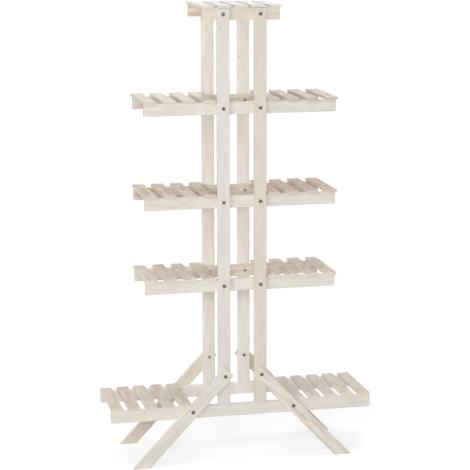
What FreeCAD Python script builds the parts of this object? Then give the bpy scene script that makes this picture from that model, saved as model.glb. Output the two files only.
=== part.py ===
import FreeCAD, Part
import math
import os

# Five-tier plant stand of whitewashed softwood boards, bolted together from flat parts.
# Millimetres, +Z up, +X to the right, +Y to the rear. The origin is on the floor, under the middle
# of the stand. Two flat frames, front and rear, mirror each other; cross slats tie them into shelves.

# Board stock. Posts, rails and legs are cut from one section, the slats from a thinner one.
board_wide = 38.0
board_thick = 14.0
board_ease = 1.2
slat_wide = 37.0
slat_thick = 8.0
slat_ease = 0.8

# Frames. The gap is the clear depth between the front posts and the rear posts.
frame_gap = 215.0
post_spacing = 115.0
post_head_gap = 1.0

# Shelf levels, each the height of the lower edges of its two rails above the floor.
base_level = 147.0
low_level = 542.0
middle_level = 802.5
upper_level = 1090.0
top_level = 1374.0

# Shelf lengths are the lengths of their rails.
base_length = 826.0
mid_length = 598.0
top_length = 242.0

# Slats stand past the rail ends by the overhang. The innermost slats of the mid shelves clear the
# posts by the post gap, and those of the base shelf start this far outside the legs' base bolts.
mid_slat_overhang = 2.0
top_slat_overhang = 2.0
slat_post_gap = 5.5
slat_bolt_gap = 1.5
base_slats_a_side = 5
mid_slats_a_side = 4
top_slats = 5

# Legs stand at this angle from the vertical. Each is bolted to a post at the knee height, and to the
# base rail a little above that rail's middle line, on the leg's own middle line. Its square head ends
# a short way past the knee.
leg_angle = 43.7
knee_height = 277.5
base_bolt_rise = 4.0
leg_head = 19.0

# Bolts and nuts. Each hole is wider than the shank by its clearance. There are many of them, so
# their turned surfaces are drawn with a few flat sides; the holes drilled in the boards are round.
bolt_dia = 6.0
bolt_hole_clearance = 0.6
nut_clearance = 0.3
bolt_head_dia = 11.0
bolt_head_height = 3.3
bolt_head_edge = 1.2
bolt_crown_rim = 1.3
bolt_socket_across = 4.0
bolt_socket_deep = 2.0
bolt_past_nut = 3.0
nut_across = 10.0
nut_thick = 5.0
turned_sides = 12

# Cutting tools run past the wood by this much at each end.
cut_overrun = 2.0

# Layers through the depth, from the middle plane: inner face of the posts, their outer face, and the
# outer face of the legs. Mid and top rails lie inside the posts, base rails in line with them.
post_inner = frame_gap / 2
post_outer = post_inner + board_thick
leg_outer = post_outer + board_thick
rail_inner = post_inner - board_thick
slat_length = 2 * post_outer

post_x = post_spacing / 2
bolt_hole_dia = bolt_dia + bolt_hole_clearance
bolt_grip = 2 * board_thick
bolt_shank = bolt_grip + nut_thick + bolt_past_nut

SIDES = (("left", -1), ("right", 1))
FRAMES = (("front", -1), ("rear", 1))


def vec(x, y, z):
    return FreeCAD.Vector(x, y, z)


def eased_profile(wide, thick, ease):
    """Section of a board with its four corners broken, flat in XY with its middle at the origin."""
    half_w = wide / 2
    half_t = thick / 2
    corners = [
        (half_w - ease, -half_t),
        (half_w, ease - half_t),
        (half_w, half_t - ease),
        (half_w - ease, half_t),
        (ease - half_w, half_t),
        (-half_w, half_t - ease),
        (-half_w, ease - half_t),
        (ease - half_w, -half_t),
    ]
    points = [vec(x, y, 0) for x, y in corners]
    return Part.Face(Part.makePolygon(points + points[:1]))


def board_up(wide, thick, ease, length):
    """Board standing on its end: width along X, thickness along Y, its foot centred on the origin."""
    return eased_profile(wide, thick, ease).extrude(vec(0, 0, length))


def board_across(wide, thick, ease, length):
    """Board lying along X on its edge: width along Z from the origin up, length centred on X."""
    board = board_up(wide, thick, ease, length)
    board.rotate(vec(0, 0, 0), vec(0, 1, 0), 90)
    board.translate(vec(-length / 2, 0, wide / 2))
    return board


def slat_board():
    """Slat lying flat along Y: width along X, its lower face on Z zero, middle over the origin."""
    slat = board_up(slat_wide, slat_thick, slat_ease, slat_length)
    slat.rotate(vec(0, 0, 0), vec(1, 0, 0), 90)
    slat.translate(vec(0, slat_length / 2, slat_thick / 2))
    return slat


def layer_middle(frame_sign, inner):
    """Depth of the middle of a board whose inner face lies at the given depth."""
    return frame_sign * (inner + board_thick / 2)


def bolt_hole(x, z, y_middle):
    """Cutter for one bolt hole through a board whose middle lies at the given depth."""
    length = board_thick + 2 * cut_overrun
    start = vec(x, y_middle - length / 2, z)
    return Part.makeCylinder(bolt_hole_dia / 2, length, start, vec(0, 1, 0))


def rail_middle(level):
    return level + board_wide / 2


def shelves_on_posts():
    """Heights of the rails' middle lines that are bolted to the posts."""
    return [rail_middle(z) for z in (low_level, middle_level, upper_level, top_level)]


def leg_reach(height):
    """Distance from the stand's middle to the leg's middle line at a height above the floor."""
    return post_x + (knee_height - height) * math.tan(math.radians(leg_angle))


def base_bolt_place():
    """Distance from the middle and height of the bolt that joins a leg to a base rail."""
    height = rail_middle(base_level) + base_bolt_rise
    return leg_reach(height), height


def leg_bolt_places():
    """Distance from the middle and height of a leg's two bolts: the knee and the base rail."""
    return [(post_x, knee_height), base_bolt_place()]


def post(side_sign, frame_sign):
    """Post, standing on the upper edge of the base rail and ending just under the top slats."""
    foot = base_level + board_wide
    head = top_level + board_wide - post_head_gap
    y_middle = layer_middle(frame_sign, post_inner)
    body = board_up(board_wide, board_thick, board_ease, head - foot)
    body.translate(vec(side_sign * post_x, y_middle, foot))
    heights = shelves_on_posts() + [knee_height]
    holes = [bolt_hole(side_sign * post_x, z, y_middle) for z in heights]
    return body.cut(holes)


def rail(length, level, frame_sign, inner, bolt_reach, bolt_height):
    """Shelf rail with one bolt hole each side of the middle."""
    y_middle = layer_middle(frame_sign, inner)
    body = board_across(board_wide, board_thick, board_ease, length)
    body.translate(vec(0, y_middle, level))
    holes = [bolt_hole(sign * bolt_reach, bolt_height, y_middle) for sign in (-1, 1)]
    return body.cut(holes)


def post_rail(length, level, frame_sign):
    """Mid or top rail, bolted to the inner faces of the posts along its own middle line."""
    return rail(length, level, frame_sign, rail_inner, post_x, rail_middle(level))


def leg(side_sign, frame_sign):
    """Slanted leg: square head past the knee bolt, foot cut level with the floor."""
    slant = math.radians(leg_angle)
    y_middle = layer_middle(frame_sign, post_outer)
    to_floor = knee_height / math.cos(slant)
    past_floor = board_wide * math.tan(slant) + cut_overrun
    length = leg_head + to_floor + past_floor
    body = board_up(board_wide, board_thick, board_ease, length)
    body.translate(vec(0, 0, leg_head - length))
    body.rotate(vec(0, 0, 0), vec(0, 1, 0), -side_sign * leg_angle)
    body.translate(vec(side_sign * post_x, y_middle, knee_height))
    reach = leg_reach(0) + length
    cut_deep = board_thick + 2 * cut_overrun
    below = Part.makeBox(2 * reach, cut_deep, length, vec(-reach, y_middle - cut_deep / 2, -length))
    holes = [bolt_hole(side_sign * x, z, y_middle) for x, z in leg_bolt_places()]
    return body.cut([below] + holes)


def spread(first, last, count):
    """Middles of slats spread evenly so that the outer two end at the given limits."""
    start = first + slat_wide / 2
    step = (last - first - slat_wide) / (count - 1)
    return [start + i * step for i in range(count)]


def slats_on(level, places):
    """Row of slats on a pair of rails."""
    row = []
    for x in places:
        slat = slat_board()
        slat.translate(vec(x, 0, level + board_wide))
        row.append(slat)
    return row


def polygon(radius, sides, z):
    """Closed regular outline in a level plane, its corners the given radius from Z."""
    angles = [i * 2 * math.pi / sides for i in range(sides)]
    points = [vec(radius * math.cos(angle), radius * math.sin(angle), z) for angle in angles]
    return Part.makePolygon(points + points[:1])


def prism(radius, sides, low, high):
    """Upright prism about Z between two heights."""
    return Part.Face(polygon(radius, sides, low)).extrude(vec(0, 0, high - low))


def hexagon_corner(across):
    """Distance from the middle of a hexagon to its corners, from the distance across its flats."""
    return across / math.sqrt(3)


def bolt():
    """Bolt along Z: its domed head stands on the origin and its shank hangs below, with a
    hexagon socket in the crown of the head."""
    head_r = bolt_head_dia / 2
    crown_r = hexagon_corner(bolt_socket_across) + bolt_crown_rim
    rings = [(head_r, 0), (head_r, bolt_head_edge), (crown_r, bolt_head_height)]
    head = Part.makeLoft([polygon(radius, turned_sides, z) for radius, z in rings], True, True)
    shank = prism(bolt_dia / 2, turned_sides, -bolt_shank, 0)
    socket_floor = bolt_head_height - bolt_socket_deep
    socket = prism(hexagon_corner(bolt_socket_across), 6, socket_floor, bolt_head_height + cut_overrun)
    return head.cut(socket).fuse(shank)


def nut():
    """Hexagon nut on the shank of bolt(), against the inner end of the grip."""
    top = -bolt_grip
    bottom = top - nut_thick
    bore_r = (bolt_dia + nut_clearance) / 2
    bore = prism(bore_r, turned_sides, bottom - cut_overrun, top + cut_overrun)
    return prism(hexagon_corner(nut_across), 6, bottom, top).cut(bore)


def bolt_seats():
    """Distance from the middle, height and depth of each bolt head's seat in one quarter."""
    on_posts = [(post_x, z, post_outer) for z in shelves_on_posts()]
    on_legs = [(x, z, leg_outer) for x, z in leg_bolt_places()]
    return on_posts + on_legs


def at_bolts(make_piece):
    """Copies of one fastener at every bolt of the stand, heads to the outside."""
    copies = []
    for side, side_sign in SIDES:
        for frame, frame_sign in FRAMES:
            for x, z, seat in bolt_seats():
                piece = make_piece()
                piece.rotate(vec(0, 0, 0), vec(1, 0, 0), -frame_sign * 90)
                piece.translate(vec(side_sign * x, frame_sign * seat, z))
                copies.append(piece)
    return Part.makeCompound(copies)


def save(name, shape):
    shape.exportStep("parts/" + name + ".step")


def save_frames():
    """Posts, legs and rails of the front and rear frames."""
    base_reach, base_height = base_bolt_place()
    for frame, frame_sign in FRAMES:
        for side, side_sign in SIDES:
            save(frame + "_" + side + "_post", post(side_sign, frame_sign))
            save(frame + "_" + side + "_leg", leg(side_sign, frame_sign))
        base = rail(base_length, base_level, frame_sign, post_inner, base_reach, base_height)
        save("base_" + frame + "_rail", base)
        save("low_" + frame + "_rail", post_rail(mid_length, low_level, frame_sign))
        save("middle_" + frame + "_rail", post_rail(mid_length, middle_level, frame_sign))
        save("upper_" + frame + "_rail", post_rail(mid_length, upper_level, frame_sign))
        save("top_" + frame + "_rail", post_rail(top_length, top_level, frame_sign))


def save_sided_slats(shelf, level, reach, open_half, a_side):
    """Slats of a shelf left and right of its open middle, numbered from the outside inwards. The
    open half is half the width left free between the two groups."""
    right = spread(open_half, reach, a_side)
    for side, side_sign in SIDES:
        places = [side_sign * x for x in reversed(right)]
        for number, slat in enumerate(slats_on(level, places), 1):
            save(shelf + "_" + side + "_slat_" + str(number), slat)


def save_slats():
    """Slats of every shelf."""
    base_open_half = base_bolt_place()[0] + slat_bolt_gap
    save_sided_slats("base", base_level, base_length / 2, base_open_half, base_slats_a_side)
    mid_reach = mid_length / 2 + mid_slat_overhang
    mid_open_half = post_x + board_wide / 2 + slat_post_gap
    for shelf, level in (("low", low_level), ("middle", middle_level), ("upper", upper_level)):
        save_sided_slats(shelf, level, mid_reach, mid_open_half, mid_slats_a_side)
    top_reach = top_length / 2 + top_slat_overhang
    for number, slat in enumerate(slats_on(top_level, spread(-top_reach, top_reach, top_slats)), 1):
        save("top_slat_" + str(number), slat)


os.makedirs("parts", exist_ok=True)
save_frames()
save_slats()
save("bolts", at_bolts(bolt))
save("nuts", at_bolts(nut))
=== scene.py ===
# %% [markdown]
# # A plant shelf of whitewashed boards
# The real stand is cut from one size of softwood board and bolted together. Two flat frames, front and
# rear, hold five rows of slats between them. The solids already have the right sizes, so this lesson
# gives each board the eased edges, the grain and the thin white stain that a real one has, and gives
# the bolts their domed heads and threads. It starts by loading the solids, which stay where they are.

# %% Load the frame
import math
import random

import bpy
from mathutils import Matrix, Vector


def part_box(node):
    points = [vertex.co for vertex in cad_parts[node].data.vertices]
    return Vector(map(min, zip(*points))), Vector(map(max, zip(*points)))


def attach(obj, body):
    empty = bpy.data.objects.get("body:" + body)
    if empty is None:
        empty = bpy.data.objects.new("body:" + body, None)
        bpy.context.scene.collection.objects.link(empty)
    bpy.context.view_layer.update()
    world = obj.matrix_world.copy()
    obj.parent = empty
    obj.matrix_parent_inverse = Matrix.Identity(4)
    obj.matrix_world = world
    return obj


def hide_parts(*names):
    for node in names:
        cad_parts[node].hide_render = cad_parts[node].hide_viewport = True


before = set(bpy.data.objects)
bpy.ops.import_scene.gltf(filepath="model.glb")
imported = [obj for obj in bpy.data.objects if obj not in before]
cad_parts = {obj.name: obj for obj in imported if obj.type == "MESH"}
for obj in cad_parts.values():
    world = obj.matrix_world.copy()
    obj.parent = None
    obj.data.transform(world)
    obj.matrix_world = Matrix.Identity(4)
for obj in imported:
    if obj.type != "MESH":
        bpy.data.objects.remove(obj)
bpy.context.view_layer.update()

print("Solids in the frame:", len(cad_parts))

# %% [markdown]
# ## A notation for node trees
# Both the shapes and the finishes are made by node trees. Wiring nodes by hand in a script is long and
# hard to read, so a small class wraps one output of a node, and sums and products on it add the nodes
# themselves. Numbers go through Math nodes, and places and directions through Vector Math nodes.

# %% Sockets that can be added and multiplied
class Socket:
    """One output of a node. A sum or a product on it adds the node that works it out."""

    def __init__(self, tree, out):
        self.tree = tree
        self.out = out

    def __getitem__(self, name):
        """Another output of the same node."""
        return Socket(self.tree, self.out.node.outputs[name])

    def __add__(self, other):
        return self.tree.maths("ADD", self, other)

    def __sub__(self, other):
        return self.tree.maths("SUBTRACT", self, other)

    def __rsub__(self, other):
        return self.tree.maths("SUBTRACT", other, self)

    def __mul__(self, other):
        return self.tree.maths("MULTIPLY", self, other)

    def __truediv__(self, other):
        return self.tree.maths("DIVIDE", self, other)

    def __neg__(self):
        return self * -1.0

    def __abs__(self):
        return self.tree.maths("ABSOLUTE", self)

    def at_least(self, other):
        return self.tree.maths("MAXIMUM", self, other)

    def at_most(self, other):
        return self.tree.maths("MINIMUM", self, other)

    __radd__ = __add__
    __rmul__ = __mul__


# %% Trees that are written as expressions
class Tree:
    """A node tree, of a material or of Geometry Nodes."""

    def __init__(self, group):
        self.group = group

    def node(self, kind, inputs=(), **settings):
        """Adds a node, with values or links for its inputs, by place or by name."""
        made = self.group.nodes.new(kind)
        for name, value in settings.items():
            setattr(made, name, value)
        sockets = [socket for socket in made.inputs if socket.enabled]
        by_name = {socket.name: socket for socket in reversed(sockets)}
        pairs = inputs.items() if isinstance(inputs, dict) else enumerate(inputs)
        for key, value in pairs:
            socket = by_name[key] if isinstance(key, str) else sockets[key]
            if isinstance(value, Socket):
                self.group.links.new(value.out, socket)
            elif socket.type == "VECTOR" and isinstance(value, (int, float)):
                socket.default_value = (value,) * 3
            else:
                socket.default_value = value
        return Socket(self, next((out for out in made.outputs if out.enabled), None))

    def maths(self, operation, *values):
        """Math on numbers, or Vector Math where one of the values is a vector."""
        kinds = [value.out.type if isinstance(value, Socket) else type(value) for value in values]
        vector = any(kind in ("VECTOR", tuple) for kind in kinds)
        kind = "ShaderNodeVectorMath" if vector else "ShaderNodeMath"
        return self.node(kind, values, operation=operation)

    def split(self, vector):
        """The three numbers of a vector."""
        parts = self.node("ShaderNodeSeparateXYZ", [vector])
        return parts["X"], parts["Y"], parts["Z"]

    def join(self, x, y, z):
        return self.node("ShaderNodeCombineXYZ", [x, y, z])

    def rise(self, value, low, high):
        """Goes smoothly from 0 to 1 while the value goes from low to high."""
        limits = {"Value": value, "From Min": low, "From Max": high}
        return self.node("ShaderNodeMapRange", limits, interpolation_type="SMOOTHSTEP")

    def noise(self, place, detail, scale=1.0):
        values = {"Vector": place, "Scale": scale, "Detail": detail}
        return self.node("ShaderNodeTexNoise", values)


def empty_tree(owner):
    """The node tree of a new material or world, without the nodes that it starts with."""
    owner.use_nodes = True
    owner.node_tree.nodes.clear()
    return Tree(owner.node_tree)


# %% Geometry trees with named inputs
def socket_kind(value):
    if value is None:
        return "NodeSocketMaterial"
    if isinstance(value, tuple):
        return "NodeSocketVector"
    return "NodeSocketInt" if isinstance(value, int) else "NodeSocketFloat"


class ShapeTree(Tree):
    """A Geometry Nodes tree that starts from marked points and has a named input for each size."""

    def __init__(self, name, **sizes):
        super().__init__(bpy.data.node_groups.new(name, "GeometryNodeTree"))
        interface = self.group.interface
        interface.new_socket("marks", in_out="INPUT", socket_type="NodeSocketGeometry")
        for size, value in {**sizes, "material": None}.items():
            made = interface.new_socket(size, in_out="INPUT", socket_type=socket_kind(value))
            if value is not None:
                made.default_value = value
        interface.new_socket("shape", in_out="OUTPUT", socket_type="NodeSocketGeometry")
        self.given = self.node("NodeGroupInput")

    def move(self, shape, place):
        return self.node("GeometryNodeSetPosition", {"Geometry": shape, "Position": place})

    def place(self):
        return self.node("GeometryNodeInputPosition")

    def turn(self, *angles):
        return self.node("FunctionNodeEulerToRotation", [self.join(*angles)])

    def read(self, name):
        """A vector that the marks carry."""
        return self.node("GeometryNodeInputNamedAttribute", [name], data_type="FLOAT_VECTOR")

    def note(self, shape, name, value):
        """Writes a vector on every point of a shape, for its material to read."""
        values = {"Geometry": shape, "Name": name, "Value": value}
        return self.node("GeometryNodeStoreNamedAttribute", values,
                         data_type="FLOAT_VECTOR", domain="POINT")

    def smooth(self, shape, faces):
        values = {"Geometry": shape, "Shade Smooth": faces}
        return self.node("GeometryNodeSetShadeSmooth", values)

    def cylinder(self, around, radius, depth, rings=1):
        values = {"Vertices": around, "Side Segments": rings, "Radius": radius, "Depth": depth}
        return self.node("GeometryNodeMeshCylinder", values)

    def merge(self, kind, socket, shapes, **settings):
        """A node that takes several shapes in one input."""
        made = self.node(kind, **settings)
        for shape in shapes:
            self.group.links.new(shape.out, made.out.node.inputs[socket])
        return made

    def copies(self, points, piece, rotation=(0.0, 0.0, 0.0)):
        values = {"Points": points, "Instance": piece, "Rotation": rotation}
        return self.node("GeometryNodeInstanceOnPoints", values)

    def random(self, low, high, seed, kind="FLOAT_VECTOR"):
        """Another value between two limits on each mark."""
        limits = {"Min": low, "Max": high, "Seed": seed}
        return self.node("FunctionNodeRandomValue", limits, data_type=kind)

    def real(self, shape):
        return self.node("GeometryNodeRealizeInstances", [shape])

    def cut(self, shape, tool):
        return self.node("GeometryNodeMeshBoolean", [shape, tool], operation="DIFFERENCE")

    def close(self, shape):
        """Ends the tree with real geometry that wears the material."""
        worn = {"Geometry": self.real(shape), "Material": self.given["material"]}
        self.node("NodeGroupOutput", [self.node("GeometryNodeSetMaterial", worn)])


# %% [markdown]
# A tree runs as a modifier on a mesh that holds only the marked points. Its inputs are set before it
# is first looked at. Its result is then copied into a plain mesh and the modifier is removed, so that
# each finished piece is simple geometry with its place in its mesh.

# %% Run a tree and keep its result
def add_object(name, data):
    made = bpy.data.objects.new(name, data)
    bpy.context.scene.collection.objects.link(made)
    return made


def build(name, shape_tree, marks, notes=None, **sizes):
    """Plain mesh object made by a tree from marked points, with vectors noted on the points."""
    mesh = bpy.data.meshes.new(name)
    mesh.from_pydata([tuple(mark) for mark in marks], [], [])
    for note, vectors in (notes or {}).items():
        layer = mesh.attributes.new(note, "FLOAT_VECTOR", "POINT")
        for point, vector in zip(layer.data, vectors):
            point.vector = vector
    piece = add_object(name, mesh)
    modifier = piece.modifiers.new("shape", "NODES")
    modifier.node_group = shape_tree.group
    for socket in shape_tree.group.interface.items_tree:
        if socket.in_out == "INPUT" and socket.name in sizes:
            modifier[socket.identifier] = sizes[socket.name]
    evaluated = piece.evaluated_get(bpy.context.evaluated_depsgraph_get())
    made = bpy.data.meshes.new_from_object(evaluated)
    piece.modifiers.clear()
    piece.data = made
    return piece


def dress(piece, nodes):
    """The piece stands for these solids, and goes with the stand."""
    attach(piece, "root")
    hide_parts(*nodes)
    return piece


# %% [markdown]
# ## The whitewashed wood
# The boards are pine under a thin white stain with a satin sheen. Three things make it look real:
# growth rings that are cylinders round the middle of the tree, so that faces show lines and arches and
# the ends show arcs; a stain that hides the soft early wood better than the hard late wood and the
# knots; and a slightly different tint on each board, which on a few rear boards is painted light and
# shade. The stain stays thick on the sawn sides and ends, and the narrow sides are also painted a
# little lighter, which is painted light, so that the sides of the slats look paler than their faces.
# Where the stain is thin on a face it is also uneven, so more of the pine shows through in streaks and
# patches. Picture textures would
# repeat and need a layout for each board. Here every mark is a function of the place in the board, so
# the grain follows a board whichever way it lies.

# %% What a board tells its material
# grain: place in the board, metres: across its width, through its thickness, along its length
# span: the same as shares of the half sizes, from -1 to 1, so that the edges are at 1
# half: half sizes of the board, metres
# log: where the middle of the tree lay, across and through, and how it drifts along the board
# knot: place of a knot across and along, and its radius
# tone: warmth of the stain, how much it covers, and how light it is, with painted light and shade on
# some rear boards


# %% Growth rings
ring_step = 0.0026
ring_wander = 0.006
bends_per_metre = 3.0
ring_ripple = 0.9
ripple_scale = (140.0, 140.0, 9.0)
bulge_reach, bulge_high = 2.2, 1.3
least_reach = 0.0005
summer_start, summer_full, winter = 0.45, 0.9, 0.93


def growth_rings(tree, grain, log, knot_radius, knot_distance, shift):
    """How late in its year the wood grew: 0 in spring and 1 where summer ends."""
    across, through, along = tree.split(grain)
    log_across, log_through, drift = tree.split(log)
    bends = tree.noise(shift + tree.join(0.0, 0.0, along * bends_per_metre), 1.0)
    wander = (bends["Color"] - 0.5) * ring_wander
    wander_across, wander_through, _ = tree.split(wander)
    x = across - log_across + wander_across
    y = through - log_through + wander_through + along * drift
    radius = tree.maths("SQRT", x * x + y * y)
    flow = knot_distance / (knot_radius * bulge_reach + least_reach)
    bulge = tree.maths("EXPONENT", -(flow * flow)) * knot_radius * bulge_high
    ripple = tree.noise(shift + grain * ripple_scale, 2.0)
    year = tree.maths("FRACT", (radius + bulge) / ring_step + ripple * ring_ripple)
    return tree.rise(year, summer_start, summer_full) * (1.0 - tree.rise(year, winter, 1.0))


# %% Streaks along the grain
noise_low, noise_high = 0.28, 0.72


def streaks(tree, grain, shift, wide, long, detail):
    """Noise drawn out along the board, in marks of about this width and length in metres."""
    place = grain * (1.0 / wide, 1.0 / wide, 1.0 / long) + shift
    return tree.rise(tree.noise(place, detail), noise_low, noise_high)


# %% Edges, ends and knots
knot_stretch = 0.8


def distances_to_faces(tree, span, half):
    """Distance in from the nearest edge, and from the nearest end and side, of a board."""
    across, through, along = tree.split((1.0 - abs(span)) * half)
    # An edge is near where two of the three are small, so its distance is the middle one
    edge = across.at_most(through).at_least(across.at_least(through).at_most(along))
    return edge, along, across


def distance_to_knot(tree, grain, knot):
    """Distance from the knot's middle line, which crosses the board, and the knot's radius."""
    across, through, along = tree.split(grain)
    knot_across, knot_along, radius = tree.split(knot)
    x = across - knot_across
    z = (along - knot_along) * knot_stretch
    return tree.maths("SQRT", x * x + z * z), radius


# %% What shows on a board
log_shift = (310.0, 170.0, 90.0)
edge_wear_start, edge_wear_end = 0.0003, 0.0016
least_wear = 0.35
end_depth = 0.0006
side_depth = 0.0004
knot_fade = 0.0022
rim_reach = 1.35
# Fine fibres, brush strokes, pale patches and rosy stretches: an offset in the noise, so that no two
# are alike, a width and a length in metres, and a detail
streak_sizes = {
    "fibres": ((0.0, 0.0, 0.0), 0.0007, 0.030, 3.0),
    "brush": ((3.0, 7.0, 1.0), 0.0022, 0.16, 3.0),
    "cloud": ((9.0, 2.0, 5.0), 0.014, 0.075, 1.0),
    "blush": ((1.0, 8.0, 2.0), 0.009, 0.35, 1.0),
}


def skin_of(tree, distance, depth):
    """1 in a thin skin on the ends or the sides of a board, and 0 deeper in."""
    return 1.0 - tree.rise(distance, depth * 0.5, depth)


def traits_of(tree, notes):
    """What shows on a board, each as a share from 0 to 1."""
    grain = notes["grain"]
    shift = notes["log"] * log_shift
    distance, radius = distance_to_knot(tree, grain, notes["knot"])
    edge, end, side = distances_to_faces(tree, notes["span"], notes["half"])
    traits = {
        "late": growth_rings(tree, grain, notes["log"], radius, distance, shift),
        "heart": tree.rise((radius - distance) / knot_fade, 0.0, 1.0),
        "cut_end": skin_of(tree, end, end_depth),
        "cut_side": skin_of(tree, side, side_depth),
    }
    for trait, (offset, wide, long, detail) in streak_sizes.items():
        traits[trait] = streaks(tree, grain, shift + offset, wide, long, detail)
    near_knot = tree.rise((radius * rim_reach - distance) / knot_fade, 0.0, 1.0)
    traits["rim"] = near_knot - traits["heart"]
    at_edge = 1.0 - tree.rise(edge, edge_wear_start, edge_wear_end)
    traits["worn"] = at_edge * (least_wear + (1.0 - least_wear) * traits["brush"])
    return traits


def weighted(traits, weights):
    """Sum of the traits, each times its weight."""
    return sum(weight * traits[trait] for trait, weight in weights.items())


# %% How much of the wood the stain hides
even_cover, patchy_cover = 0.93, 0.55
unevenness = 14.0
brush_swing, cloud_swing = 0.10, 0.14
stain_losses = {"late": 0.11, "fibres": 0.07, "worn": 0.05, "heart": 0.30, "rim": 0.08}
sawn_cover, most_cover = 0.85, 0.96


def stain_cover(tree, cover, traits):
    """Share of the wood that the stain hides. A thin stain is uneven, and sawn faces hold more."""
    thinness = 1.0 + unevenness * (even_cover - cover.at_least(patchy_cover))
    swing = brush_swing * (traits["brush"] - 0.5) + cloud_swing * (traits["cloud"] - 0.5)
    hidden = cover + swing * thinness - weighted(traits, stain_losses)
    sawn = traits["cut_end"].at_least(traits["cut_side"])
    return hidden.at_least(sawn_cover * sawn).at_most(most_cover)


# %% Whitewashed pine
spring_wood = (0.70, 0.475, 0.315, 1.0)
summer_wood = (0.46, 0.28, 0.16, 1.0)
knot_wood = (0.26, 0.18, 0.11, 1.0)
cool_stain = (0.785, 0.79, 0.760, 1.0)
warm_stain = (0.79, 0.742, 0.638, 1.0)
rose_stain = (0.80, 0.745, 0.70, 1.0)
ring_tint, heart_tint, rim_tint, rose_tint = 0.8, 0.9, 0.4, 0.45
cloud_light = 0.05
# The narrow sides are painted a tenth lighter on top of their thicker stain: painted light on the
# sides of the slats
light_steps_with_painted_side_light = {"fibres": -0.03, "cut_end": -0.04, "cut_side": 0.10}
relief = {"late": 0.5, "fibres": 0.35, "brush": 0.3, "heart": -0.4}
plain_roughness = 0.50
roughness_steps = {"fibres": 0.12, "brush": -0.06}


def mixed(tree, share, first, second, blend="MIX"):
    colours = {"Factor": share, "A": first, "B": second}
    return tree.node("ShaderNodeMix", colours, data_type="RGBA", blend_type=blend)


def pine_colour(tree, tone, traits):
    """The wood through the stain, lighter or darker with the board's tone, which holds painted light.
    """
    warmth, cover, light = tree.split(tone)
    wood = mixed(tree, traits["late"] * ring_tint, spring_wood, summer_wood)
    in_knot = traits["heart"] * heart_tint + traits["rim"] * rim_tint
    wood = mixed(tree, in_knot, wood, knot_wood)
    stain = mixed(tree, warmth, cool_stain, warm_stain)
    stain = mixed(tree, traits["blush"] * rose_tint, stain, rose_stain)
    colour = mixed(tree, stain_cover(tree, cover, traits), wood, stain)
    # The lightness carries painted light: the lighter tones of the rear boards and the lighter narrow
    # sides
    lightness = light + weighted(traits, light_steps_with_painted_side_light) + cloud_light * (traits["cloud"] - 0.5)
    return mixed(tree, 1.0, colour, tree.join(lightness, lightness, lightness), "MULTIPLY")


def close_surface(tree, looks, height, strength, depth):
    """Ends the tree of a material with one surface, raised a little where the height is greater."""
    bump = tree.node("ShaderNodeBump", {"Height": height, "Strength": strength, "Distance": depth})
    shader = tree.node("ShaderNodeBsdfPrincipled", {**looks, "Normal": bump})
    tree.node("ShaderNodeOutputMaterial", {"Surface": shader})


def whitewashed_pine():
    material = bpy.data.materials.new("whitewashed_pine")
    tree = empty_tree(material)
    notes = {}
    for name in ("grain", "span", "half", "log", "knot", "tone"):
        notes[name] = tree.node("ShaderNodeAttribute", attribute_name=name)["Vector"]
    traits = traits_of(tree, notes)
    looks = {
        "Base Color": pine_colour(tree, notes["tone"], traits),
        "Roughness": plain_roughness + weighted(traits, roughness_steps),
        "Specular IOR Level": 0.42,
        "Coat Weight": 0.18,
        "Coat Roughness": 0.22,
    }
    close_surface(tree, looks, weighted(traits, relief), strength=0.35, depth=0.0003)
    return material


pine = whitewashed_pine()
print("Nodes in the whitewashed pine:", len(pine.node_tree.nodes))

# %% [markdown]
# ## The steel of the fasteners
# Bolts, nuts and pins are zinc-plated steel that has gone dull. It is grey and metallic, a little
# blotchy, and darker where fingers and tools have left a film. The photograph shows dark bolt heads
# and much lighter nuts, so one recipe makes two steels that differ in how bright the plating is.

# %% Zinc-plated steel
blotches_per_metre = 420.0
scratches_per_metre = 2600.0
film_low, film_high = 0.35, 0.7
clean_roughness, film_roughness = 0.24, 0.40


def zinc_steel(name, plate_grey, film_grey):
    material = bpy.data.materials.new(name)
    tree = empty_tree(material)
    place = tree.node("ShaderNodeTexCoord")["Object"]
    film = tree.rise(tree.noise(place, 3.0, blotches_per_metre), film_low, film_high)
    looks = {
        "Base Color": mixed(tree, film, plate_grey, film_grey),
        "Metallic": 1.0,
        "Roughness": clean_roughness + (film_roughness - clean_roughness) * film,
    }
    scratches = tree.noise(place, 2.0, scratches_per_metre)
    close_surface(tree, looks, scratches, strength=0.2, depth=0.0001)
    return material


dark_zinc = zinc_steel("dark_zinc_steel", (0.21, 0.195, 0.16, 1.0), (0.08, 0.07, 0.06, 1.0))
light_zinc = zinc_steel("light_zinc_steel", (0.62, 0.61, 0.57, 1.0), (0.42, 0.41, 0.38, 1.0))
print("Nodes in each zinc steel:", len(dark_zinc.node_tree.nodes))

# %% [markdown]
# ## One board
# A planed board is a box whose long edges are eased and whose ends are only knocked off. It could be a
# cube with a Bevel modifier, but then every size would need its own settings. Here a cube of eight
# points a side is pulled into shape by one rule, with the outer three rings of points in the rounded
# zone, so a change of size never stretches the rounding.

# %% A cube pulled into an eased board
ease_steps = 3
square_enough = 0.999


def eased_board(tree, size, ease):
    """Board with its width along X, thickness along Y, length along Z and middle on the origin."""
    count = 2 * (ease_steps + 1)
    sides = {"Size": 2.0, "Vertices X": count, "Vertices Y": count, "Vertices Z": count}
    cube = tree.node("GeometryNodeMeshCube", sides)
    point = tree.place()
    side = tree.maths("SIGN", point)
    inward = (1.0 - abs(point)) * ((count - 1) / (2 * ease_steps))
    outward = tree.maths("NORMALIZE", side * (1.0 - inward))
    board = tree.move(cube, side * (size * 0.5 - ease) + outward * ease)
    x, y, z = tree.split(abs(tree.node("GeometryNodeInputNormal")))
    squareness = x.at_least(y).at_least(z)
    return tree.smooth(board, tree.maths("LESS_THAN", squareness, square_enough))


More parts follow.
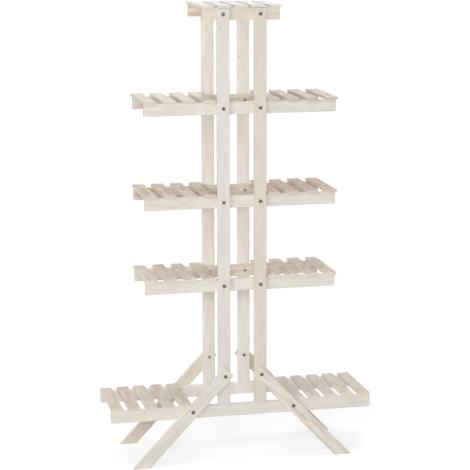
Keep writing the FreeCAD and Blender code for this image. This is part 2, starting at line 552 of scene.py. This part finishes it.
def note_grain(tree, board, size, foot_slope):
    """Writes the place in the board, and its shares of the half sizes, on a board's points."""
    x, y, z = tree.split(tree.place())
    _, _, length = tree.split(size)
    unslanted = (z - x * foot_slope * 0.5) / (1.0 - x * foot_slope / length)
    board = tree.note(board, "grain", tree.place())
    board = tree.note(board, "span", tree.join(x, y, unslanted) / (size * 0.5))
    return tree.note(board, "half", size * 0.5)


# %% [markdown]
# The frame boards are drilled for their bolts, and the feet of the legs are cut on a slant so that
# they stand level. The marked points that the tree starts from are the places of the holes. The slant
# slides the lower end along the board in step with its width, which leaves the faces flat.

# %% The tree of a frame board
hole_sides = 24
drill_long = 0.05


def slanted_foot(tree, board, size, foot_slope):
    x, y, z = tree.split(tree.place())
    _, _, length = tree.split(size)
    return tree.move(board, tree.join(x, y, z + x * foot_slope * (0.5 - z / length)))


def frame_board_tree():
    tree = ShapeTree("frame_board", size=(0.1, 0.1, 1.0), ease=(0.001,) * 3, foot_slope=0.0,
                     hole=0.001, turn=(0.0,) * 3, place=(0.0,) * 3,
                     log=(0.0,) * 3, knot=(0.0,) * 3, tone=(0.0,) * 3)
    given = tree.given
    board = eased_board(tree, given["size"], given["ease"])
    board = slanted_foot(tree, board, given["size"], given["foot_slope"])
    drill = tree.cylinder(hole_sides, given["hole"] * 0.5, drill_long)
    holes = tree.copies(given["marks"], drill, tree.turn(math.pi / 2, 0.0, 0.0))
    board = tree.cut(board, tree.real(holes))
    board = note_grain(tree, board, given["size"], given["foot_slope"])
    for name in ("log", "knot", "tone"):
        board = tree.note(board, name, given[name])
    rotation = tree.node("FunctionNodeEulerToRotation", [given["turn"]])
    tree.close(tree.node("GeometryNodeTransform", {
        "Geometry": board, "Translation": given["place"], "Rotation": rotation}))
    return tree


frame_board = frame_board_tree()
print("Nodes in the frame board's tree:", len(frame_board.group.nodes))

# %% [markdown]
# ## Where the boards and bolts are
# Every place comes from the frame. A post or a rail fills its solid's box. A leg's box gives its knee,
# because the square head's upper corner is the highest point of the leg. The bolts sit where the
# middle lines of the boards cross.

# %% Posts and rails from their boxes
SIDES = (("left", -1), ("right", 1))
FRAMES = (("front", -1), ("rear", 1))
SHELVES = ("base", "low", "middle", "upper", "top")


def box_of(node):
    """Middle and size of a solid's box."""
    low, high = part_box(node)
    return (low + high) / 2, high - low


def upright(node):
    """Place, size and turn of a post."""
    return *box_of(node), 0.0


def lying(node):
    """Place, size and turn of a rail, which lies along X on its edge."""
    middle, size = box_of(node)
    return middle, Vector((size.z, size.y, size.x)), math.pi / 2


# %% Legs from their boxes
leg_angle = math.radians(43.7)
leg_head = 0.019
base_bolt_rise = 0.004
board_wide = box_of("front_left_post")[1].x


def knee_of(side, face):
    """The bolt place at the top of a leg, at the depth of the leg's middle."""
    low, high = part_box(f"{face}_{side}_leg")
    corner_rise = leg_head * math.cos(leg_angle) + board_wide / 2 * math.sin(leg_angle)
    post_middle, _ = box_of(f"{face}_{side}_post")
    return Vector((post_middle.x, (low.y + high.y) / 2, high.z - corner_rise))


def slanted(node, side, sign, face):
    """Place, size and turn of a leg, whose length is that of its middle line."""
    knee = knee_of(side, face)
    length = leg_head + knee.z / math.cos(leg_angle)
    middle_drop = length / 2 - leg_head
    reach = Vector((sign * math.sin(leg_angle), 0.0, -math.cos(leg_angle)))
    size = Vector((board_wide, box_of(node)[1].y, length))
    return knee + reach * middle_drop, size, -sign * leg_angle


# %% Bolt places
def bolt_places(face, face_sign):
    """Seats of the bolt heads of one frame, on its outer faces."""
    seats = []
    for side, sign in SIDES:
        post_middle, post_size = box_of(f"{face}_{side}_post")
        post_face = post_middle.y + face_sign * post_size.y / 2
        for shelf in SHELVES[1:]:
            rail_middle, _ = box_of(f"{shelf}_{face}_rail")
            seats.append(Vector((post_middle.x, post_face, rail_middle.z)))
        knee = knee_of(side, face)
        leg_face = knee.y + face_sign * post_size.y / 2
        seats.append(Vector((knee.x, leg_face, knee.z)))
        base_height = box_of(f"base_{face}_rail")[0].z + base_bolt_rise
        out = (knee.z - base_height) * math.tan(leg_angle)
        seats.append(Vector((knee.x + sign * out, leg_face, base_height)))
    return seats


bolts_of = {face: bolt_places(face, sign) for face, sign in FRAMES}
print("Bolts in each frame:", {face: len(seats) for face, seats in bolts_of.items()})

# %% [markdown]
# ## The character of each board
# Whitewash takes differently on each board. The tones here follow the photograph: the front right
# post is warmer than the left one. The rear posts and the rear base rail are the whitest because their
# tones are painted lighter. That is painted light, which makes up for the light that reaches the rear
# boards less. The low and middle rear rails are painted browner, which is painted shade for the shade
# under the slats. Each tone is a set of shares: how warm the stain is, how much of the wood it hides,
# and how light it is.
# The boards that aren't in the table have a plain tone. Where a knot shows, its place is given as on
# the real stand, across and up. Four boards are clear. The others draw their knots from a seeded
# generator, so that every run gives the same wood.

# %% Tones and knots
draw = random.Random(41)
plain_tone = (0.50, 0.95, 1.0)
# The lighter tones of the rear posts and the rear base rail are painted light, and the browner tones
# of the low and middle rear rails are painted shade
board_tones_with_painted_light = {
    "front_left_post": (0.22, 0.98, 0.98),
    "front_right_post": (0.92, 0.97, 0.94),
    "rear_left_post": (0.24, 0.95, 1.16),
    "rear_right_post": (0.16, 0.98, 1.18),
    "top_front_rail": (1.0, 0.93, 0.99),
    "top_rear_rail": (1.0, 0.62, 1.08),
    "upper_front_rail": (0.23, 0.90, 1.02),
    "upper_rear_rail": (0.80, 0.85, 1.02),
    "middle_rear_rail": (0.95, 0.66, 0.95),
    "low_front_rail": (0.47, 0.98, 1.03),
    "low_rear_rail": (0.75, 0.78, 1.06),
    "base_front_rail": (0.42, 0.98, 1.01),
    "base_rear_rail": (0.0, 0.98, 1.21),
    "front_left_leg": (0.22, 0.94, 0.985),
    "front_right_leg": (0.12, 0.83, 1.03),
    "rear_left_leg": (1.0, 0.97, 1.05),
}
clear_boards = ("front_right_post", "front_left_leg", "front_right_leg", "rear_left_leg")
seen_knot_radius = 0.0036
seen_knots = {
    "front_left_post": (-0.0673, 1.354),
    "rear_right_post": (0.0433, 1.2455),
    "upper_front_rail": (-0.1024, 1.101),
    "middle_front_rail": (-0.1785, 0.8205),
    "low_front_rail": (-0.1713, 0.551),
    "base_front_rail": (-0.3103, 0.175),
}


# %% Logs and knots that are drawn
log_aside = 0.03
log_near, log_far = 0.012, 0.05
log_drift = 0.02
knot_radii = (0.0, 0.0, 0.0024, 0.0032)
knot_across_share, knot_along_share = 0.35, 0.42


def drawn_log():
    """Middle of the tree somewhere behind the board's face, drifting slightly along its length."""
    return (draw.uniform(-log_aside, log_aside),
            draw.choice((-1, 1)) * draw.uniform(log_near, log_far),
            draw.uniform(-log_drift, log_drift))


def drawn_knot(size):
    """A small knot somewhere on the board, or one of no size."""
    radius = draw.choice(knot_radii)
    return (draw.uniform(-knot_across_share, knot_across_share) * size.x,
            draw.uniform(-knot_along_share, knot_along_share) * size.z, radius)


# %% Make the frame boards
edge_ease = 0.0014
end_ease = 0.0006
hole_wide = 0.0066


def make_frame_board(node, face, placing, foot_slope=0.0):
    """One post, rail or leg, drilled wherever a bolt of its frame passes through it."""
    middle, size, turn = placing
    into_board = (Matrix.Translation(middle) @ Matrix.Rotation(turn, 4, "Y")).inverted()
    spots = [into_board @ Vector((seat.x, middle.y, seat.z)) for seat in bolts_of[face]]
    holes = [spot for spot in spots if abs(spot.x) < size.x / 2 and abs(spot.z) < size.z / 2]
    knot = drawn_knot(size)
    if node in clear_boards:
        knot = (0.0, 0.0, 0.0)
    if node in seen_knots:
        x, z = seen_knots[node]
        spot = into_board @ Vector((x, middle.y, z))
        knot = (spot.x, spot.z, seen_knot_radius)
    piece = build(node + "_board", frame_board, holes, size=size, foot_slope=foot_slope,
                  ease=(edge_ease, edge_ease, end_ease), hole=hole_wide, turn=(0.0, turn, 0.0),
                  place=middle, log=drawn_log(), knot=knot, material=pine,
                  tone=board_tones_with_painted_light.get(node, plain_tone))
    return dress(piece, [node])


for face, _ in FRAMES:
    for side, sign in SIDES:
        post = f"{face}_{side}_post"
        make_frame_board(post, face, upright(post))
        leg = f"{face}_{side}_leg"
        make_frame_board(leg, face, slanted(leg, side, sign, face), -sign * math.tan(leg_angle))
    for shelf in SHELVES:
        rail = f"{shelf}_{face}_rail"
        make_frame_board(rail, face, lying(rail))

# %% [markdown]
# ## The slats
# A shelf is a row of equal slats, nailed to both rails with two sunk pins at each end. Copying a mesh
# by hand would give every slat the same grain. A tree makes the slat once, places it on one marked
# point for each slat, and lets each copy carry its own log, knot and tone to the material. The
# photograph shows nearly white slats on top and browner ones in the middle, more so on the right, so
# each shelf has a tone for its left half and one for its right half.

# %% The tree of a slat row
pin_sides = 12
slat_log_drift = 0.03
slat_knot_across, slat_knot_along = 0.4, 0.45
# A knot's radius is drawn between these, and a slat has no knot where it falls below 0
slat_knot_least, slat_knot_most = -0.007, 0.003


def pin_corners(tree, size, spacing, reach):
    """The four places on a slat where its pins are sunk."""
    _, thick, _ = tree.split(size)
    corners = tree.node("GeometryNodeMeshGrid", {
        "Size X": spacing, "Size Y": reach * 2.0, "Vertices X": 2, "Vertices Y": 2})
    x, y, _ = tree.split(tree.place())
    return tree.move(corners, tree.join(x, thick * 0.5, y))


def slat_row_tree():
    tree = ShapeTree("slat_row", size=(0.1, 0.1, 1.0), ease=(0.001,) * 3, pin_spacing=0.01,
                     pin_reach=0.1, sink_wide=0.001, sink_deep=0.001, seed=0)
    given = tree.given
    lying_down = tree.turn(math.pi / 2, 0.0, 0.0)
    slat = eased_board(tree, given["size"], given["ease"])
    corners = pin_corners(tree, given["size"], given["pin_spacing"], given["pin_reach"])
    sinker = tree.cylinder(pin_sides, given["sink_wide"] * 0.5, given["sink_deep"] * 2.0)
    slat = tree.cut(slat, tree.real(tree.copies(corners, sinker, lying_down)))
    slat = note_grain(tree, slat, given["size"], 0.0)
    slat = tree.node("GeometryNodeTransform", {"Geometry": slat, "Rotation": lying_down})
    log = tree.random((-log_aside, log_near, -slat_log_drift),
                      (log_aside, log_far, slat_log_drift), given["seed"])
    width, _, length = tree.split(given["size"])
    across, along = width * slat_knot_across, length * slat_knot_along
    x, z, radius = tree.split(tree.random(tree.join(-across, -along, slat_knot_least),
                                          tree.join(across, along, slat_knot_most),
                                          given["seed"] + 7))
    marks = tree.note(given["marks"], "log", log)
    marks = tree.note(marks, "knot", tree.join(x, z, radius.at_least(0.0)))
    tree.close(tree.copies(marks, slat))
    return tree


slat_row = slat_row_tree()
print("Nodes in the slat row's tree:", len(slat_row.group.nodes))

# %% Make the slat rows
pin_spacing = 0.018
pin_head_wide = 0.0030
pin_play = 0.0003
pin_sink = 0.0006
slat_edge_ease = 0.0009
tone_swings = (0.12, 0.05, 0.03)
slat_tones = {
    "base": ((0.90, 0.81, 0.97), (0.70, 0.86, 1.04)),
    "low": ((1.0, 0.77, 1.04), (1.0, 0.62, 1.06)),
    "middle": ((1.0, 0.42, 0.95), (1.0, 0.10, 0.90)),
    "upper": ((0.80, 0.83, 0.95), (1.0, 0.40, 0.82)),
    "top": ((0.25, 0.95, 1.05), (0.25, 0.95, 1.05)),
}


def slats_of(shelf):
    """Names of a shelf's slats, from its left end to its right."""
    names = [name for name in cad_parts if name.startswith(shelf + "_") and "_slat_" in name]
    return sorted(names, key=lambda name: box_of(name)[0].x)


def drawn_slat_tone(shelf, slat):
    """The tone of the slat's side of its shelf, give or take a little."""
    right = box_of(slat)[0].x > 0
    tone = slat_tones[shelf][right]
    return [share + draw.uniform(-swing, swing) for share, swing in zip(tone, tone_swings)]


def rail_reach(shelf):
    """Distance from the middle of the stand to the middle of a shelf's rails."""
    return abs(box_of(f"{shelf}_rear_rail")[0].y)


def make_slat_row(shelf, seed):
    slats = slats_of(shelf)
    middles = [box_of(slat)[0] for slat in slats]
    _, box = box_of(slats[0])
    tones = [drawn_slat_tone(shelf, slat) for slat in slats]
    piece = build(shelf + "_slat_row", slat_row, middles, {"tone": tones},
                  size=Vector((box.x, box.z, box.y)),
                  ease=(slat_edge_ease, slat_edge_ease, end_ease),
                  pin_spacing=pin_spacing, pin_reach=rail_reach(shelf),
                  sink_wide=pin_head_wide + pin_play, sink_deep=pin_sink, seed=seed, material=pine)
    return dress(piece, slats)


for number, shelf in enumerate(SHELVES):
    row = make_slat_row(shelf, 11 * number)
    print(row.name, "faces:", len(row.data.polygons))

# %% [markdown]
# ## Turned steel
# Bolt heads, threaded shanks and pin heads are all round. Each could be spun from an outline with a
# Screw modifier. Here they follow the same idea as the boards: a cylinder with many rings is pulled to
# the radius and height that a rule gives for each ring, so a thread is only one more term.

# %% A cylinder pulled into a turned shape
end_facing = 0.99


def turned(tree, around, rings, radius_at, height_at):
    """Closed turned shape about Z. The rules get the ring's number, from 0 at the lower end, and
    the one for the radius also gets the share of a full turn."""
    cylinder = tree.cylinder(around, 1.0, rings, rings)
    x, y, z = tree.split(tree.place())
    ring = z + rings / 2
    share = tree.maths("ARCTAN2", y, x) / (2 * math.pi)
    radius = radius_at(ring, share)
    return tree.move(cylinder, tree.join(x * radius, y * radius, height_at(ring)))


def on_seats(tree, piece, sink):
    """Copies of a fastener along Z, one on each mark, sunk along it and turned outwards."""
    toward = tree.read("outward")
    base = tree.node("FunctionNodeAlignRotationToVector", {"Vector": toward}, axis="Z")
    spin = tree.turn(0.0, 0.0, tree.random(0.0, math.tau, tree.given["seed"], kind="FLOAT"))
    rotation = tree.node("FunctionNodeRotateRotation", [base, spin], rotation_space="LOCAL")
    seats = tree.move(tree.given["marks"], tree.place() - toward * sink)
    return tree.copies(seats, piece, rotation)


def smooth_sides(tree, piece):
    """Smooth shading on the turned faces, flat on those square to the axis."""
    _, _, z = tree.split(tree.node("GeometryNodeInputNormal"))
    return tree.smooth(piece, tree.maths("LESS_THAN", abs(z), end_facing))


# %% [markdown]
# The bolts have a low domed head with a hexagon socket, and a thread that shows where the shank comes
# out past the nut. The dome is a quarter of an ellipse that ends in a flat round the socket. The
# thread is a ring radius that rises and falls once for each turn.

# %% The domed head
head_sides = 32
dome_steps = 6


def hexagon_bar(tree, across, long):
    """Six-sided prism of this width from flat to flat."""
    return tree.cylinder(6, across / math.sqrt(3), long)


def domed_head(tree):
    """A head that stands on the origin, with a hexagon socket in its crown."""
    given = tree.given
    head_radius, crown_radius = given["head"] * 0.5, given["crown"] * 0.5

    def dome_angle(ring):
        return (ring - 1.0).at_least(0.0) * (math.pi / 2 / dome_steps)

    def dome_radius(ring, share):
        return crown_radius + (head_radius - crown_radius) * tree.maths("COSINE", dome_angle(ring))

    def dome_height(ring):
        edge = ring.at_most(1.0) * given["head_edge"]
        rise = (given["head_high"] - given["head_edge"]) * tree.maths("SINE", dome_angle(ring))
        return edge + rise

    head = smooth_sides(tree, turned(tree, head_sides, dome_steps + 1, dome_radius, dome_height))
    key = hexagon_bar(tree, given["socket"], given["socket_deep"] * 2.0)
    key = tree.node("GeometryNodeTransform", {
        "Geometry": key, "Translation": tree.join(0.0, 0.0, given["head_high"])})
    return tree.cut(head, key)


# %% The threaded shank
shank_sides = 20
thread_rings = 5
tip_start, tip_full = -3.0, 6.0
tip_share = 0.7


def threaded_shank(tree, turns):
    """The thread, which narrows at its tip, and the plain length between it and the head."""
    given = tree.given
    shank_radius = given["shank"] * 0.5
    thread_long = given["pitch"] * turns
    plain_long = given["shank_long"] - thread_long
    rings = turns * thread_rings

    def thread_radius(ring, share):
        phase = tree.maths("FRACT", ring / thread_rings - share)
        ridge = abs(phase * 2.0 - 1.0)
        tip = tree.rise(ring, tip_start, tip_full)
        groove = given["thread_deep"] * (1.0 - ridge)
        return (shank_radius - groove) * (tip_share + (1.0 - tip_share) * tip)

    def thread_height(ring):
        return ring / rings * thread_long - given["shank_long"]

    thread = turned(tree, shank_sides, rings, thread_radius, thread_height)
    plain = turned(tree, shank_sides, 1, lambda ring, share: shank_radius,
                   lambda ring: (ring - 1.0) * plain_long)
    return smooth_sides(tree, thread), smooth_sides(tree, plain)


# %% The tree of the domed bolts
def domed_bolt_tree(thread_turns):
    tree = ShapeTree("domed_bolts", head=0.01, crown=0.005, head_high=0.003, head_edge=0.001,
                     socket=0.004, socket_deep=0.002, shank=0.006, shank_long=0.03, pitch=0.001,
                     thread_deep=0.0005, seed=0)
    shapes = [domed_head(tree), *threaded_shank(tree, thread_turns)]
    bolt = tree.merge("GeometryNodeJoinGeometry", "Geometry", shapes)
    tree.close(on_seats(tree, bolt, 0.0))
    return tree


bolt_thread_turns = 9
domed_bolts = domed_bolt_tree(bolt_thread_turns)
print("Nodes in the bolts' tree:", len(domed_bolts.group.nodes))

# %% Make the bolts
bolt_grip = 0.028
nut_thick = 0.005
bolt_past_nut = 0.003
bolt_seats = [seat for face, _ in FRAMES for seat in bolts_of[face]]
outwards = {"outward": [(0.0, sign, 0.0) for face, sign in FRAMES for _ in bolts_of[face]]}

bolts = build("domed_bolts", domed_bolts, bolt_seats, outwards, head=0.011, crown=0.0072,
              head_high=0.0033, head_edge=0.0009, socket=0.004, socket_deep=0.002, shank=0.006,
              shank_long=bolt_grip + nut_thick + bolt_past_nut, pitch=0.001, thread_deep=0.00055,
              seed=5, material=dark_zinc)
dress(bolts, ["bolts"])
print("Bolts:", len(bolt_seats), "faces:", len(bolts.data.polygons))

# %% [markdown]
# A hexagon nut is turned from a bar, so its corners are rounded off where the flat end meets them. The
# shape is a six-sided prism held within a turned blank with chamfered ends, and bored through.

# %% The tree of the hexagon nuts
blank_sides = 32
blank_end_share, blank_swell = 0.48, 0.12


def turned_blank(tree):
    """Round blank with chamfered ends, a little wider than the hexagon's corners in its middle."""
    given = tree.given

    def blank_radius(ring, share):
        middle = tree.maths("COMPARE", ring, 1.5, 0.6)
        return given["across"] * (blank_end_share + blank_swell * middle)

    def blank_height(ring):
        step = tree.rise(ring, 0.0, 1.0) + tree.rise(ring, 2.0, 3.0)
        inner = tree.rise(ring, 1.0, 2.0)
        straight = given["thick"] - given["chamfer"] * 2.0
        return (step - 1.0) * given["chamfer"] + (inner - 0.5) * straight

    return turned(tree, blank_sides, 3, blank_radius, blank_height)


def hexagon_nut_tree():
    tree = ShapeTree("hexagon_nuts", across=0.01, thick=0.005, bore=0.006, chamfer=0.0006,
                     grip=0.02, seed=0)
    given = tree.given
    prism = hexagon_bar(tree, given["across"], given["thick"] * 1.5)
    nut = tree.merge("GeometryNodeMeshBoolean", "Mesh 2", [prism, turned_blank(tree)],
                     operation="INTERSECT")
    bore = tree.cylinder(hole_sides, given["bore"] * 0.5, given["thick"] * 2.0)
    tree.close(on_seats(tree, tree.cut(nut, bore), given["grip"] + given["thick"] * 0.5))
    return tree


# %% Make the nuts
nuts = build("hexagon_nuts", hexagon_nut_tree(), bolt_seats, outwards, across=0.010,
             thick=nut_thick, bore=0.0063, chamfer=0.0006, grip=bolt_grip, seed=8, material=light_zinc)
dress(nuts, ["nuts"])
print("Nuts:", len(bolt_seats), "faces:", len(nuts.data.polygons))

# %% [markdown]
# The slats are held by plain steel pins, two at each end. Only the sunk heads show.

# %% The tree of the slat pins
pin_shank_sides = 8
pin_rounding = 0.35
pin_point_share = 0.15


def slat_pin_tree():
    tree = ShapeTree("slat_pins", head=0.003, head_high=0.0005, shank=0.001, shank_long=0.02, seed=0)
    given = tree.given

    def head_radius(ring, share):
        return given["head"] * 0.5 * (1.0 - pin_rounding * tree.rise(ring, 1.5, 3.2))

    def head_height(ring):
        return given["head_high"] * (ring / 3.0) - given["head_high"]

    def shank_radius(ring, share):
        return given["shank"] * 0.5 * (ring + pin_point_share).at_most(1.0)

    def shank_height(ring):
        return (ring - 2.0) * given["shank_long"] * 0.5 - given["head_high"] * 0.5

    head = smooth_sides(tree, turned(tree, pin_sides, 3, head_radius, head_height))
    shank = smooth_sides(tree, turned(tree, pin_shank_sides, 2, shank_radius, shank_height))
    pin = tree.merge("GeometryNodeJoinGeometry", "Geometry", [head, shank])
    tree.close(on_seats(tree, pin, 0.0))
    return tree


# %% Make the slat pins
def pin_places():
    """Heads of the pins, two at each end of every slat, sunk a little in its upper face."""
    places = []
    for shelf in SHELVES:
        for slat in slats_of(shelf):
            middle, size = box_of(slat)
            height = middle.z + size.z / 2 - pin_sink / 3
            for x in (-pin_spacing / 2, pin_spacing / 2):
                for y in (-rail_reach(shelf), rail_reach(shelf)):
                    places.append(Vector((middle.x + x, y, height)))
    return places


pin_marks = pin_places()
upwards = {"outward": [(0.0, 0.0, 1.0)] * len(pin_marks)}
pins = build("slat_pins", slat_pin_tree(), pin_marks, upwards, head=pin_head_wide, head_high=0.0005,
             shank=0.0014, shank_long=0.022, seed=3, material=light_zinc)
dress(pins, [])
print("Pins:", len(pin_marks), "faces:", len(pins.data.polygons))

# %% [markdown]
# ## Floor and sky
# The studio is a pale floor that runs out of sight under a white sky. The camera sees the open floor
# as white and only the shade of the stand as a light grey, so the floor has one finish for the eye and
# another that sends light back to the stand. A backdrop picture would not keep the shade.

# %% The floor
floor_reach = 60.0
floor_tint = (0.80, 0.80, 0.80, 1.0)
seen_floor_tint = (0.600, 0.610, 0.625, 1.0)
seen_floor_glow = 0.583


def seen_directly(tree):
    """1 for what the camera sees, also in a mirror or through glass, and 0 for light on its way."""
    path = tree.node("ShaderNodeLightPath")
    mirrored = path["Is Glossy Ray"].at_least(path["Is Transmission Ray"])
    return path["Is Camera Ray"].at_least(mirrored)


def studio_floor():
    material = bpy.data.materials.new("studio_floor")
    tree = empty_tree(material)
    bounce = tree.node("ShaderNodeBsdfDiffuse", {"Color": floor_tint})
    shade = tree.node("ShaderNodeBsdfDiffuse", {"Color": seen_floor_tint})
    glow = tree.node("ShaderNodeEmission", {"Strength": seen_floor_glow})
    seen = tree.node("ShaderNodeAddShader", [shade, glow])
    mixed_floor = tree.node("ShaderNodeMixShader", [seen_directly(tree), bounce, seen])
    tree.node("ShaderNodeOutputMaterial", {"Surface": mixed_floor})
    return material


corner_signs = [(-1, -1), (1, -1), (1, 1), (-1, 1)]
floor_points = [(x * floor_reach, y * floor_reach, 0.0) for x, y in corner_signs]
floor_mesh = bpy.data.meshes.new("floor")
floor_mesh.from_pydata(floor_points, [], [(0, 1, 2, 3)])
floor_mesh.materials.append(studio_floor())
floor = add_object("floor", floor_mesh)
print("Floor's width, metres:", 2 * floor_reach)

# %% The sky
sky_tint = (1.0, 0.97, 0.92, 1.0)
sky_light = 0.26

world = bpy.data.worlds.new("studio")
sky = empty_tree(world)
fill = sky.node("ShaderNodeBackground", {"Color": sky_tint, "Strength": sky_light})
white = sky.node("ShaderNodeBackground", {"Color": (1.0, 1.0, 1.0, 1.0), "Strength": 1.0})
sky.node("ShaderNodeOutputWorld", {
    "Surface": sky.node("ShaderNodeMixShader", [seen_directly(sky), fill, white])})
bpy.context.scene.world = world
print("Nodes in the sky:", len(world.node_tree.nodes))

# %% [markdown]
# ## Light
# In the photograph the rear posts have no shade under the top rails, some above the upper shelf and
# more below the low shelf. That is the work of a soft box that stands nearer than the camera and about
# as high as the top shelf. A sun lamp could light the front as well, but its rays would meet every
# shelf at the same slope.

# %% The soft box in front
box_place = Vector((-0.66, -2.93, 1.35))
box_aim = Vector((0.0, 0.0, 0.75))
box_wide = 0.7
box_watts = 26.5

soft_box = bpy.data.lights.new("soft_box", "AREA")
soft_box.shape = "DISK"
soft_box.size = box_wide
soft_box.energy = box_watts
soft_box_object = add_object("soft_box", soft_box)
soft_box_object.location = box_place
soft_box_object.rotation_euler = (box_aim - box_place).to_track_quat("-Z", "Y").to_euler()
print("Soft box's distance, metres:", (box_aim - box_place).length)

# %% [markdown]
# Four lamps stand farther off. The left one draws the narrow shades beside the front posts and lights
# the sides of the slats. The small right one only puts a glint on the bolt heads. The high one lights
# the faces of the slats and draws the shade on the floor. The faint one behind is so low that it only
# adds the sheen that makes the top slats nearly white.

# %% The lamps farther off
# Azimuth, elevation, strength, and the width at which a lamp is seen, with angles in degrees
far_lamps = {
    "left_lamp": (-48.0, 20.0, 0.80, 30.0),
    "right_lamp": (38.0, 24.0, 0.08, 6.0),
    "high_lamp": (-90.0, 85.0, 1.14, 50.0),
    "rear_lamp": (167.0, 2.5, 0.09, 12.0),
}

for name, (azimuth, elevation, power, softness) in far_lamps.items():
    lamp = bpy.data.lights.new(name, "SUN")
    lamp.energy = power
    lamp.angle = math.radians(softness)
    lamp_object = add_object(name, lamp)
    lamp_object.rotation_euler = (math.radians(90 - elevation), 0.0, math.radians(azimuth))
print("Lamps farther off:", len(far_lamps))

# %% [markdown]
# ## Camera
# The place, the turn and the lens were found from the corners and bolts that the photograph shows. The
# stand is seen from a little left of its front and from above its top shelf.

# %% The camera
camera_place = (-1.155, -5.117, 1.719)
camera_yaw = math.radians(12.77)
camera_pitch = math.radians(9.93)
camera_roll = math.radians(-0.16)
sensor_wide = 36.0
lens_long = 130.60
lens_shift = -0.07
far_limit = 300.0

camera = add_object("camera", bpy.data.cameras.new("camera"))
turned_right = Matrix.Rotation(-camera_yaw, 4, "Z")
tipped_down = Matrix.Rotation(math.pi / 2 - camera_pitch, 4, "X")
rolled = Matrix.Rotation(camera_roll, 4, "Z")
camera.matrix_world = Matrix.Translation(camera_place) @ turned_right @ tipped_down @ rolled
camera.data.sensor_width = sensor_wide
camera.data.lens = lens_long
camera.data.shift_y = lens_shift
camera.data.clip_end = far_limit
bpy.context.scene.camera = camera
bpy.context.scene.view_settings.view_transform = "Standard"
print("Angle of view, degrees:", math.degrees(camera.data.angle))
